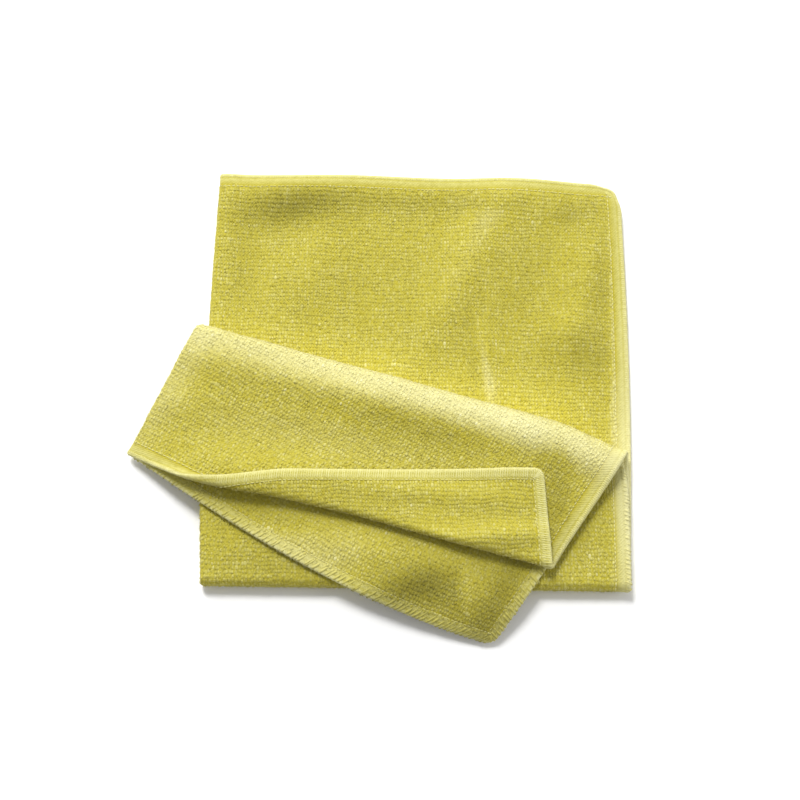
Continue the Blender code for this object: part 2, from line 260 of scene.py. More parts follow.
# Overlock thread, wrapped over the hem's front along the edges of some layers
WRAP_COLUMNS = ("layers", "pitch", "radius", "slant", "reach", "uneven", "lightness")
WRAPS = (
    ((2, 3, 4), 1.05 * MM, 0.30 * MM, 0.8 * MM, 5.5 * MM, 0.08, 1.0),
    # The lower leaf, as the photograph shows it
    # Its thread is painted darker, as shade
    ((1,), 2.3 * MM, 0.56 * MM, 2.4 * MM, 4.6 * MM, 0.2, 0.1),
)
THREAD_SIDES = 5
THREAD_TONES = (0.4, 0.8)
# How deep the thread lies in the hem, as a share of its radius, and how much deeper at its ends
WRAP_SUNK = 0.45
END_SUNK = 0.1 * MM
# How unevenly thick it is, as a multiple of how unevenly it is spaced, and between which limits
RADIUS_UNEVEN = 1.5
RADIUS_LIMITS = (0.6, 1.4)
# The row of stitches that holds the hem
STITCH_PITCH = 2.1 * MM
STITCH_RADIUS = 0.27 * MM
STITCH_TAPER = (0.6, 1.0, 1.0, 0.6)
STITCH_UNEVEN = 0.06
STITCH_HALF = 0.42 * STITCH_PITCH
STITCH_SUNK = -0.20 * MM
STITCH_RISE = 0.12 * MM
STITCH_DEPTH = {-1: 6.9 * MM, 1: 5.6 * MM}
STITCH_LIGHTNESS = {1: 0.7, -1: 1.0}
# Added to a direction so that it can't lie along the strand
OFF_AXIS = np.array((0.31, 0.17, 0.71))


def eased(distance, length):
    """0 up to the start, 1 from the given length on, and smooth between the two."""
    part = np.clip(distance / length, 0.0, 1.0)
    return part * part * (3.0 - 2.0 * part)


class Crease:
    """A crease: the line over which the sheet turns, its axis, and what turns over it."""

    def __init__(self, point, slant, axis_z, layers, above_z=-1.0):
        self.point = np.array(point)
        self.past = np.array((-math.sin(slant), math.cos(slant)))
        self.axis_z = axis_z
        self.layers = layers
        self.above_z = above_z

    def distance(self, places):
        """How far each place lies past the line, seen from above."""
        return (places[:, :2] - self.point) @ self.past

    def turns(self, places, panel):
        """Which points are turned over."""
        in_layers = np.isin(layer_of(panel), self.layers)
        return in_layers & (places[:, 2] > self.above_z) & (self.distance(places) > 0)

    def turned(self, places, panel):
        """Wraps what lies past the line over the axis; each layer keeps its own length."""
        moved = self.turns(places, panel)
        distance = self.distance(places)[moved]
        radius = self.axis_z - places[moved, 2]
        angle = np.minimum(distance / radius, math.pi)
        new_distance = radius * np.sin(angle) - (distance - angle * radius)
        result = places.copy()
        result[moved, :2] += (new_distance - distance)[:, None] * self.past
        result[moved, 2] = self.axis_z - radius * np.cos(angle)
        return result


def layer_of(panel):
    """The layer, counted from the top, that each point of the flat panel ends up in."""
    left = panel[:, 0] < 0
    lower = panel[:, 1] < 0
    return np.select([lower & ~left, lower & left, ~lower & left], [1, 2, 3], 4)


FROM_THE_LEFT = Crease((0, 0), math.radians(90), TIGHT_CREASE, (2, 3))
FROM_THE_BOTTOM = Crease((0, 0), math.radians(180), PITCH + TIGHT_CREASE, (1, 2))
FLAP_AXIS_Z = 3 * PITCH + FLAP_CREASE
THE_FLAP = Crease((0, FLAP_CREASE_Y), FLAP_SLANT, FLAP_AXIS_Z, (1, 2))
FLAP_UNDER_Z = 2 * FLAP_AXIS_Z - 3 * PITCH
TOPMOST_Z = 2 * FLAP_AXIS_Z - 2 * PITCH
THE_CORNER = Crease(
    CORNER_CREASE_AT, CORNER_SLANT + math.pi, TOPMOST_Z + CORNER_CREASE, (2,), FLAP_AXIS_Z
)
CREASES = (FROM_THE_LEFT, FROM_THE_BOTTOM, THE_FLAP, THE_CORNER)


def pulled_out_of_square(places, panel):
    """Shifts the four stacked layers sideways, as unevenly as a hand leaves them."""
    result = places.copy()
    layer = layer_of(panel)
    x, y = places[:, 0], places[:, 1]
    half = SIDE / 2
    across = np.clip(x / half, 0.0, 1.0)
    up = np.clip(y / half, 0.0, 1.0)

    lower_pair = layer >= 3
    swell = SIDES_SWELL * np.sin(math.pi * up) * (2.0 * across - 1.0)
    drop = TOP_DROP * eased(x - (half - TOP_DROP_LENGTH), TOP_DROP_LENGTH) * up**2
    ripple = TOP_RIPPLE * np.cos(2 * math.pi * x / TOP_RIPPLE_LENGTH) * up**4
    tuck = TUCK * eased(x + y - (SIDE - TUCK_LENGTH), TUCK_LENGTH)
    result[lower_pair, 0] += (swell - tuck)[lower_pair]
    result[lower_pair, 1] += (ripple - drop - tuck)[lower_pair]

    crease_y = FLAP_CREASE_Y + math.tan(FLAP_SLANT) * x
    below = np.clip(y / crease_y, 0.0, 1.0)
    above = np.clip((y - crease_y) / (half - crease_y), 0.0, None)
    crease_x = CREASE_PULL * (1.0 - across)
    for row in PULLED:
        pull = dict(zip(COLUMNS, row))
        here = layer == pull["layer"]
        edge_x = pull["left_x"] + (pull["right_x"] - pull["left_x"]) * across**3
        edge_y = pull["left_y"] + (pull["right_y"] - pull["left_y"]) * across**3
        edge_y += pull["bow"] * 4.0 * across * (1.0 - across)
        shift_x = crease_x * below * (1.0 - above) + edge_x * above**2
        shift_x += pull["low_x"] * across**3 * (1.0 - below**8)
        result[here, 0] += shift_x[here]
        result[here, 1] += (edge_y * above)[here]
    return result


def stacked(panel, creases):
    """Where points of the flat panel lie once so many of the creases are made."""
    places = panel.copy()
    for number, crease in enumerate(CREASES[:creases]):
        places = crease.turned(places, panel)
        if number == 1:
            places = pulled_out_of_square(places, panel)
    return places


def soft_sum(table, places, on):
    """What the soft rows of a table add up to at each place."""
    height = np.zeros(len(places))
    for row in table:
        ridge = dict(zip(RIDGE_COLUMNS, row))
        if ridge["on"] != on:
            continue
        slant = ridge["slant"]
        dx = places[:, 0] - ridge["x"]
        dy = places[:, 1] - ridge["y"]
        along = (dx * math.cos(slant) + dy * math.sin(slant)) / ridge["length"]
        across = (dy * math.cos(slant) - dx * math.sin(slant)) / ridge["width"]
        height += ridge["height"] * np.exp(-(along**2) - across**2)
    return height


def folded(panel):
    """Where points of the flat panel lie in the folded cloth, settled under its own weight."""
    in_flap = THE_FLAP.turns(stacked(panel, 2), panel)
    in_corner = THE_CORNER.turns(stacked(panel, 3), panel)
    places = stacked(panel, 4)
    x, y, z = places.T.copy()

    # The flap's right end is drawn down, and with it what lies just under its crease
    before_crease = np.maximum(-THE_FLAP.distance(places), 0.0)
    drawn = np.where(in_flap, 1.0, 1.0 - eased(before_crease, END_FADE))
    drawn[layer_of(panel) > 2] = 0.0
    y -= END_DROP * drawn * eased(x - END_FROM, END_LENGTH)

    # The turned corner
    turned_past = eased(z - TOPMOST_Z, 2 * CORNER_CREASE)
    dip = eased(x - DIP_FROM, DIP_RISE) * (1.0 - eased(x - DIP_END, DIP_FALL))
    y -= np.where(in_corner, CORNER_DIP * dip * turned_past, 0.0)
    leaf = (layer_of(panel) == 2) & in_flap
    from_crease = THE_CORNER.distance(places) / BOW_WIDTH
    bow = CORNER_BOW * np.exp(-(((x - BOW_MIDDLE) / BOW_LENGTH) ** 2) - from_crease**2)
    y += np.where(leaf, bow, 0.0)

    rising = {
        "base": eased(z, PITCH),
        "flap": eased(z - 3 * PITCH, 2 * FLAP_CREASE),
        "leaf": eased(z - FLAP_UNDER_Z, PITCH),
        "corner": eased(z - TOPMOST_Z, 2 * CORNER_CREASE),
    }
    for on, share in rising.items():
        z += share * soft_sum(RIDGES, places, on)

    flap_slack = 2 * FLAP_CREASE - PITCH
    corner_slack = 2 * CORNER_CREASE - PITCH
    z[in_flap] -= flap_slack * eased(-THE_FLAP.distance(places), FLAP_FLATTENS_OVER)[in_flap]
    z[in_corner] -= (
        corner_slack * eased(-THE_CORNER.distance(places), CORNER_FLATTENS_OVER)[in_corner]
    )
    past_left = np.maximum(-x, 0)
    past_bottom = np.maximum(-y, 0)
    droop = past_left**2 / (2 * DROOP_LEFT) + past_bottom**2 / (2 * DROOP_BOTTOM)
    z[in_flap] -= droop[in_flap]
    return np.stack(
        (x - FOOTPRINT_MIDDLE[0], y - FOOTPRINT_MIDDLE[1], z + CAD_THICKNESS / 2), axis=1
    )


def painted_light_and_lay(panel):
    """Painted light and shade at each point, in part the pile's lay, and painted bounce light on the
    base.
    """
    places = stacked(panel, 4)
    z = places[:, 2]
    over_base = eased(z - 3 * PITCH, 2 * FLAP_CREASE)
    over_under = eased(z - FLAP_UNDER_Z, PITCH)
    over_leaf = eased(z - TOPMOST_Z, 2 * CORNER_CREASE)
    shares = {
        "base": 1.0 - over_base,
        "under": over_base - over_under,
        "leaf": over_under - over_leaf,
        "corner": over_leaf,
    }
    return {
        "nap_and_painted_light": sum(share * soft_sum(NAP_AND_PAINTED_LIGHT, places, on) for on, share in shares.items()),
        "painted_bounce_light": shares["base"] * soft_sum(NAP_AND_PAINTED_LIGHT, places, "painted_bounce_light"),
    }


def normals(panel):
    """The direction of the panel's front face at points of the folded panel."""
    step = 0.02 * MM
    along = []
    for shift in (np.array((step, 0, 0)), np.array((0, step, 0))):
        along.append(folded(panel + shift) - folded(panel - shift))
    normal = np.cross(*along)
    return normal / np.linalg.norm(normal, axis=1)[:, None]


def from_edge(panel):
    """How far inside the panel's rounded edge each point lies."""
    away = np.abs(panel[:, :2] - PANEL_MIDDLE) - (SIDE / 2 - CORNER_RADIUS)
    outside = np.linalg.norm(np.maximum(away, 0), axis=1)
    inside = np.minimum(away.max(axis=1), 0)
    return CORNER_RADIUS - outside - inside


def half_thickness(depth, side):
    """Half the thickness so far in from the edge, towards one side of the middle surface."""
    from_rim = np.clip(depth / HALF_HEM, 0, 1)
    rounding = np.sqrt(np.clip(1.0 - (1.0 - from_rim) ** 2, LEAST_ROUNDING, 1.0))
    thicker = HALF_HEM - HALF_GROUND
    overlocked = HALF_GROUND + thicker * (1.0 - eased(depth - OVERLOCK_END, OVERLOCK_FALL))
    banded = HALF_GROUND + thicker * (1.0 - eased(depth - BAND_END, BAND_FALL))
    banded -= GROOVE_DEPTH * np.exp(-(((depth - GROOVE_AT) / GROOVE_WIDTH) ** 2))
    return np.where(side > 0, overlocked, banded) * rounding


def on_cloth(panel, side, height=0.0):
    """Points of the cloth's surface, raised by a height: side is 1 on the front, -1 on the back."""
    side = np.asarray(side)
    lift = half_thickness(from_edge(panel), side) + height
    places = folded(panel) + normals(panel) * (side * lift)[:, None]
    places[:, 2] = np.maximum(places[:, 2], FLOOR_GAP)
    return places


# ---- The sheet ----


def cut(sheet, geometry, point, normal, **options):
    """Cuts the geometry along a plane and returns what it has become."""
    result = bmesh.ops.bisect_plane(
        sheet, geom=geometry, dist=SNAP, plane_co=point, plane_no=normal, **options
    )
    return result["geom"]


def everything_in(sheet):
    return sheet.verts[:] + sheet.edges[:] + sheet.faces[:]


def grid_lines():
    """Where the grid's lines lie along one side of the panel, from its middle."""
    inner = SIDE / 2 - HEM_LINES[-1]
    cells = round(2 * inner / GRID_CELL)
    regular = np.linspace(-inner, inner, cells + 1)
    hem = SIDE / 2 - np.array((0.0, *HEM_LINES[:-1]))
    return np.sort(np.concatenate((regular, hem, -hem)))


def flat_panel():
    """The flat sheet with its rounded corners, cut where its layers part."""
    lines = grid_lines()
    count = len(lines)
    x, y = np.meshgrid(lines, lines)
    verts = np.stack((x.ravel(), y.ravel(), np.zeros(count**2)), axis=1)
    corner = (np.arange(count - 1)[:, None] * count + np.arange(count - 1)).ravel()
    faces = np.stack((corner, corner + 1, corner + count + 1, corner + count), axis=1)
    mesh = bpy.data.meshes.new("panel")
    mesh.from_pydata(verts.tolist(), [], faces.tolist())
    sheet = bmesh.new()
    sheet.from_mesh(mesh)
    bpy.data.meshes.remove(mesh)

    centre = SIDE / 2 - CORNER_RADIUS
    for quarter in range(4):
        middle = Matrix.Rotation(quarter * math.pi / 2, 3, "Z") @ Vector((centre, centre, 0))
        for step in range(1, CORNER_CUTS + 1):
            angle = math.pi / 2 * (quarter + step / (CORNER_CUTS + 1))
            outwards = Vector((math.cos(angle), math.sin(angle), 0))
            rim = middle + outwards * CORNER_RADIUS
            cut(sheet, everything_in(sheet), rim, outwards, clear_outer=True)
    bmesh.ops.translate(sheet, verts=sheet.verts, vec=(*PANEL_MIDDLE, 0))
    for normal in ((1, 0, 0), (0, 1, 0)):
        cut(sheet, everything_in(sheet), (0, 0, 0), normal)
    return sheet


def folded_sheet():
    """The sheet, cut along its creases; each vertex keeps its place on the flat panel."""
    sheet = flat_panel()
    on_panel = sheet.verts.layers.float_vector.new("panel")
    for vert in sheet.verts:
        vert[on_panel] = vert.co

    for number, crease in enumerate(CREASES):
        panel = np.array([vert[on_panel] for vert in sheet.verts])
        for vert, place in zip(sheet.verts, stacked(panel, number)):
            vert.co = place
        faces = []
        for face in sheet.faces:
            panel_middle = sum((vert[on_panel] for vert in face.verts), Vector()) / len(face.verts)
            left, lower = panel_middle.x < 0, panel_middle.y < 0
            layer = (1 if not left else 2) if lower else (3 if left else 4)
            if layer in crease.layers and face.calc_center_median().z > crease.above_z:
                faces.append(face)
        edges = {edge for face in faces for edge in face.edges}
        verts = {vert for face in faces for vert in face.verts}
        geometry = list(verts) + list(edges) + faces
        for step in range(CREASE_STEPS + 1):
            slope = math.pi * step / CREASE_STEPS
            geometry = cut(
                sheet, geometry, (*crease.point, crease.axis_z), (*crease.past, slope)
            )

    panel = np.array([vert[on_panel] for vert in sheet.verts])
    for vert, place in zip(sheet.verts, folded(panel)):
        vert.co = place
    bmesh.ops.triangulate(sheet, faces=sheet.faces[:])
    sheet.verts.index_update()
    triangles = np.array([[vert.index for vert in face.verts] for face in sheet.faces])
    rim = []
    for edge in sheet.edges:
        if len(edge.link_loops) == 1:
            loop = edge.link_loops[0]
            rim.append((loop.vert.index, loop.link_loop_next.vert.index))
    panel = np.array([vert[on_panel] for vert in sheet.verts])
    sheet.free()
    return panel, triangles, np.array(rim)


# ---- Meshes ----


def add_mesh(name, verts, faces, panel, values, material):
    """A smooth mesh whose UV map is its place on the panel, with a named value at each vertex."""
    mesh = bpy.data.meshes.new(name)
    mesh.vertices.add(len(verts))
    mesh.vertices.foreach_set("co", verts.astype(np.float32).ravel())
    mesh.loops.add(faces.size)
    mesh.loops.foreach_set("vertex_index", faces.astype(np.int32).ravel())
    mesh.polygons.add(len(faces))
    mesh.polygons.foreach_set("loop_start", np.arange(len(faces)) * faces.shape[1])
    mesh.update(calc_edges=True)
    uv = (panel[:, :2] - PANEL_MIDDLE) / SIDE + 0.5
    layer = mesh.uv_layers.new(name="UVMap")
    layer.uv.foreach_set("vector", uv[faces.ravel()].astype(np.float32).ravel())
    for label, value in values.items():
        attribute = mesh.attributes.new(label, "FLOAT", "POINT")
        attribute.data.foreach_set("value", value.astype(np.float32))
    mesh.shade_smooth()
    mesh.materials.append(material)
    made = bpy.data.objects.new(name, mesh)
    bpy.context.collection.objects.link(made)
    return made


def cloth_mesh(panel, triangles, rim):
    """The closed cloth: its front, its back and the rim between them."""
    count = len(panel)
    depth = from_edge(panel)
    front = on_cloth(panel, np.ones(count))
    back = on_cloth(panel, -np.ones(count))
    closing = np.concatenate(
        (
            np.stack((rim[:, 1], rim[:, 0], rim[:, 0] + count), axis=1),
            np.stack((rim[:, 1], rim[:, 0] + count, rim[:, 1] + count), axis=1),
        )
    )
    faces = np.concatenate((triangles, triangles[:, ::-1] + count, closing))
    verts = np.concatenate((front, back))
    return verts, faces, np.tile(panel, (2, 1)), np.tile(depth, 2)


def exposed(points, directions, tree):
    """Which points see the open air: a ray from them, upright or leaning, meets no cloth."""
    rays = [Vector((0, 0, 1))]
    for angle in np.arange(RAYS_ROUND) * 2 * math.pi / RAYS_ROUND:
        aside = math.sin(RAY_LEAN)
        rays.append(Vector((aside * math.cos(angle), aside * math.sin(angle), math.cos(RAY_LEAN))))
    seen = np.zeros(len(points), dtype=bool)
    for index, (point, direction) in enumerate(zip(points, directions)):
        start = Vector(point)
        outwards = Vector(direction)
        for ray in rays:
            rises = ray.dot(outwards) > RAY_LEAST_RISE
            if rises and tree.ray_cast(start + ray * RAY_START, ray)[0] is None:
                seen[index] = True
                break
    return seen


def wandered(spots, side):
    """The knit's rows and columns wander a little, and more where the pile is brushed loose."""
    shift = np.zeros((len(spots), 2))
    for length in WANDER_LENGTHS:
        for axis in (0, 1):
            slant = RNG.uniform(0, 2 * math.pi)
            phase = RNG.uniform(0, 2 * math.pi)
            along = spots[:, 0] * math.cos(slant) + spots[:, 1] * math.sin(slant)
            wave = WANDER * np.sin(2 * math.pi * along / length + phase)
            shift[:, axis] += wave * length / WANDER_LENGTHS[0]
    layer = layer_of(spots)
    brushed = (layer == 1) | ((layer == 2) & (side < 0))
    jitter = np.where(brushed, BRUSHED_JITTER, JITTER)[:, None]
    spots = spots.copy()
    spots[:, :2] += shift + RNG.normal(0.0, 1.0, (len(spots), 2)) * jitter
    return spots


def ragged_edge(spots):
    """How unevenly the pile starts along the hem."""
    up = spots[:, 0] + spots[:, 1]
    down = spots[:, 0] - spots[:, 1]
    return RAGGED * (np.sin(up / RAGGED_UP) + np.sin(down / RAGGED_DOWN))


def pile(tree):
    """A small rounded loop on every stitch of the knit that is open to the air, and its tone."""
    columns = np.arange(COLUMN_PITCH / 2, SIDE, COLUMN_PITCH) - SIDE / 2
    rows = np.arange(ROW_PITCH / 2, SIDE, ROW_PITCH) - SIDE / 2
    u, v = np.meshgrid(columns, rows)
    lattice = np.stack((u.ravel(), v.ravel(), np.zeros(u.size)), axis=1)
    lattice[:, :2] += PANEL_MIDDLE
    row_tone = RNG.normal(0, ROW_TONE, len(rows))[:, None]
    row_tone = row_tone + RNG.normal(0, COLUMN_TONE, len(columns))[None, :]
    result = []
    for side in (1, -1):
        spots = wandered(lattice, side)
        start = np.full(len(spots), PILE_FROM[side])
        if side > 0:
            start[layer_of(spots) == 1] = PILE_FROM_COARSE
        ragged = start + RNG.normal(0, START_SPREAD, len(spots)) + ragged_edge(spots)
        kept = from_edge(spots) > ragged
        spots, tones = spots[kept], row_tone.ravel()[kept]
        normal = normals(spots) * side
        base = on_cloth(spots, np.full(len(spots), side))
        seen = (normal[:, 2] > LEAST_UP) & exposed(base + normal * TEST_LIFT, normal, tree)
        spots, normal, base, tones = spots[seen], normal[seen], base[seen], tones[seen]
        step = np.array((0.1 * MM, 0, 0))
        along = folded(spots + step) - folded(spots - step)
        along -= normal * (along * normal).sum(axis=1)[:, None]
        along /= np.linalg.norm(along, axis=1)[:, None]
        result.append((spots, base, along, np.cross(normal, along), normal, tones))
    spots, base, along, across, normal, tones = (np.concatenate(part) for part in zip(*result))

    count = len(spots)
    turn = RNG.uniform(0, 2 * math.pi, count)
    size = RNG.normal(1.0, SIZE_SPREAD, count).clip(*SIZE_LIMITS)
    height = LOOP_HEIGHT * RNG.normal(1.0, HEIGHT_SPREAD, count).clip(*HEIGHT_LIMITS)
    lean = RNG.normal(0.0, 2 * JITTER, (count, 2))
    verts = []
    for radius, rise in LOOP_RINGS:
        for spoke in range(LOOP_SIDES):
            angle = turn + 2 * math.pi * spoke / LOOP_SIDES
            east = radius * LOOP_LENGTH * size * np.cos(angle) + max(rise, 0) * lean[:, 0]
            north = radius * LOOP_WIDTH * size * np.sin(angle) + max(rise, 0) * lean[:, 1]
            spread = along * east[:, None] + across * north[:, None]
            verts.append(base + spread + normal * (rise * height)[:, None])
    verts.append(base + along * lean[:, :1] + across * lean[:, 1:] + normal * height[:, None])
    verts = np.stack(verts, axis=1)
    faces = []
    for spoke in range(LOOP_SIDES):
        after = (spoke + 1) % LOOP_SIDES
        faces.append((spoke, after, LOOP_SIDES + after))
        faces.append((spoke, LOOP_SIDES + after, LOOP_SIDES + spoke))
        faces.append((LOOP_SIDES + spoke, LOOP_SIDES + after, 2 * LOOP_SIDES))
    verts[:, :, 2] = np.maximum(verts[:, :, 2], FLOOR_GAP)
    tone = (MIDDLE_TONE + RNG.normal(0, LOOP_TONE, count) + tones).clip(0, 1)
    return verts, np.array(faces), spots, tone


def fuzz(loops):
    """Loose fibres, each one thin triangle, that stand out of the loops in all directions."""
    chosen = RNG.integers(0, len(loops), FIBRES)
    corner = RNG.integers(LOOP_SIDES, 2 * LOOP_SIDES, FIBRES)
    foot = loops[chosen, corner]
    tip = loops[chosen, 2 * LOOP_SIDES]
    middle = loops[chosen, LOOP_SIDES : 2 * LOOP_SIDES].mean(axis=1)
    outwards = tip - middle
    outwards /= np.linalg.norm(outwards, axis=1)[:, None]
    way = RNG.normal(0, 1, (FIBRES, 3))
    way += outwards * RNG.uniform(*FIBRE_OUTWARDS, FIBRES)[:, None]
    way /= np.linalg.norm(way, axis=1)[:, None]
    way += outwards * np.clip(FIBRE_LEAST_RISE - (way * outwards).sum(axis=1), 0, None)[:, None]
    beside = np.cross(way, RNG.normal(0, 1, (FIBRES, 3)))
    beside *= (FIBRE_WIDTH / 2 / np.linalg.norm(beside, axis=1))[:, None]
    length = FIBRE_LENGTH * RNG.uniform(*FIBRE_LENGTHS, FIBRES)[:, None]
    verts = np.stack((foot - beside, foot + beside, foot + way * length), axis=1)
    verts[:, :, 2] = np.maximum(verts[:, :, 2], FLOOR_GAP)
    return verts, chosen


def rim_point(along):
    """A point on the panel's rounded edge so far round it, and the direction inwards from it."""
    straight = SIDE - 2 * CORNER_RADIUS
    arc = math.pi / 2 * CORNER_RADIUS
    quarter, rest = np.divmod(along, straight + arc)
    turned = np.clip(rest - straight, 0, None) / CORNER_RADIUS
    x = np.minimum(rest, straight) - straight / 2 + CORNER_RADIUS * np.sin(turned)
    y = -SIDE / 2 + CORNER_RADIUS * (1 - np.cos(turned))
    angle = quarter * math.pi / 2
    turned_x = x * np.cos(angle) - y * np.sin(angle)
    turned_y = x * np.sin(angle) + y * np.cos(angle)
    point = np.stack((turned_x, turned_y), axis=1)
    inwards = np.stack((-np.sin(turned + angle), np.cos(turned + angle)), axis=1)
    return point + PANEL_MIDDLE, inwards


RIM_LENGTH = 4 * (SIDE - 2 * CORNER_RADIUS + math.pi / 2 * CORNER_RADIUS)


def strands(routes, radii, sides):
    """Closed tubes along many routes of as many points each: routes is (strand, point, xyz)."""
    count, points = routes.shape[:2]
    ahead = np.gradient(routes, axis=1)
    ahead /= np.linalg.norm(ahead, axis=2)[:, :, None]
    up = np.cross(ahead, np.roll(ahead, 1, axis=2) + OFF_AXIS)
    up /= np.linalg.norm(up, axis=2)[:, :, None]
    beside = np.cross(ahead, up)
    rings = []
    for spoke in range(sides):
        angle = 2 * math.pi * spoke / sides
        outwards = up * math.cos(angle) + beside * math.sin(angle)
        rings.append(routes + radii[:, :, None] * outwards)
    verts = np.stack(rings, axis=2).reshape(count, points * sides, 3)
    faces = []
    for ring in range(points - 1):
        for spoke in range(sides):
            here = ring * sides + spoke
            after = ring * sides + (spoke + 1) % sides
            faces.append((here, here + sides, after + sides))
            faces.append((here, after + sides, after))
    for spoke in range(1, sides - 1):
        faces.append((0, spoke, spoke + 1))
        last = (points - 1) * sides
        faces.append((last, last + spoke + 1, last + spoke))
    return verts, np.array(faces)


def route_on_cloth(along, way):
    """Routes over the hem: way lists (side, depth, shift along the edge, height) for each point."""
    routes = []
    panels = []
    for side, depth, shift, height in way:
        point, inwards = rim_point((along + shift) % RIM_LENGTH)
        panel = np.zeros((len(along), 3))
        panel[:, :2] = point + inwards * depth
        routes.append(on_cloth(panel, np.full(len(along), side), height))
        panels.append(panel)
    return np.stack(routes, axis=1), np.stack(panels, axis=1)


def wraps(wrap):
    """Thread wrapped over the hem's front along the edges of a row's layers."""
    pitch, radius = wrap["pitch"], wrap["radius"]
    slant, reach = wrap["slant"], wrap["reach"]
    along = np.arange(0, RIM_LENGTH - pitch, pitch)
    along = along + RNG.normal(0, wrap["uneven"] * pitch, len(along))
    points = np.zeros((len(along), 3))
    points[:, :2] = rim_point(along)[0]
    along = along[np.isin(layer_of(points), wrap["layers"])]
    sunk = -WRAP_SUNK * radius
    way = (
        (-1, 2.3 * MM, -0.4 * slant, sunk - END_SUNK),
        (-1, 1.4 * MM, -0.25 * slant, sunk),
        (-1, 0.6 * MM, -0.1 * slant, sunk),
        (1, 0.0, 0.0, sunk),
        (1, 0.6 * MM, 0.1 * slant, sunk),
        (1, 0.36 * reach, 0.35 * slant, sunk),
        (1, 0.7 * reach, 0.7 * slant, sunk),
        (1, reach, 1.0 * slant, sunk - END_SUNK),
    )
    routes, panels = route_on_cloth(along, way)
    uneven = RNG.normal(1.0, RADIUS_UNEVEN * wrap["uneven"], routes.shape[:2])
    radii = radius * uneven.clip(*RADIUS_LIMITS)
    return strands(routes, radii, THREAD_SIDES), panels


def chain(side):
    """The row of small stitches that holds the hem, on one side."""
    along = np.arange(0, RIM_LENGTH - STITCH_PITCH, STITCH_PITCH)
    along = along + RNG.normal(0, STITCH_UNEVEN * STITCH_PITCH, len(along))
    depth = STITCH_DEPTH[side]
    way = (
        (side, depth, -STITCH_HALF, STITCH_SUNK),
        (side, depth, -STITCH_HALF / 2, STITCH_RISE),
        (side, depth, STITCH_HALF / 2, STITCH_RISE),
        (side, depth, STITCH_HALF, STITCH_SUNK),
    )
    routes, panels = route_on_cloth(along, way)
    radii = STITCH_RADIUS * np.array(STITCH_TAPER) * np.ones(routes.shape[:2])
    return strands(routes, radii, THREAD_SIDES), panels


def overlock():
    """The thread wrapped round the hem on its front, and the two rows of stitches that hold it."""
    pieces = []
    for row in WRAPS:
        wrap = dict(zip(WRAP_COLUMNS, row))
        pieces.append((wraps(wrap), wrap["lightness"]))
    for side, lightness in STITCH_LIGHTNESS.items():
        pieces.append((chain(side), lightness))
    all_verts, all_faces, all_panels, all_tones = [], [], [], []
    start = 0
    for ((verts, faces), panels), lightness in pieces:
        count, each = verts.shape[:2]
        all_verts.append(verts.reshape(-1, 3))
        all_panels.append(np.repeat(panels, THREAD_SIDES, axis=1).reshape(-1, 3))
        # A row's lightness scales its tones; the lower leaf's low one is painted shade
        all_tones.append(np.repeat(RNG.uniform(*THREAD_TONES, count) * lightness, each))
        first = start + np.arange(count) * each
        all_faces.append((faces[None] + first[:, None, None]).reshape(-1, 3))
        start += count * each
    verts, faces, panels, tones = (
        np.concatenate(part) for part in (all_verts, all_faces, all_panels, all_tones)
    )
    verts[:, 2] = np.maximum(verts[:, 2], FLOOR_GAP)
    return verts, faces, panels, tones


# ---- Materials ----

# The sockets of a Mix node that mixes colours
MIX_FACTOR = 0
MIX_FIRST = 6
MIX_SECOND = 7
MIX_RESULT = 2


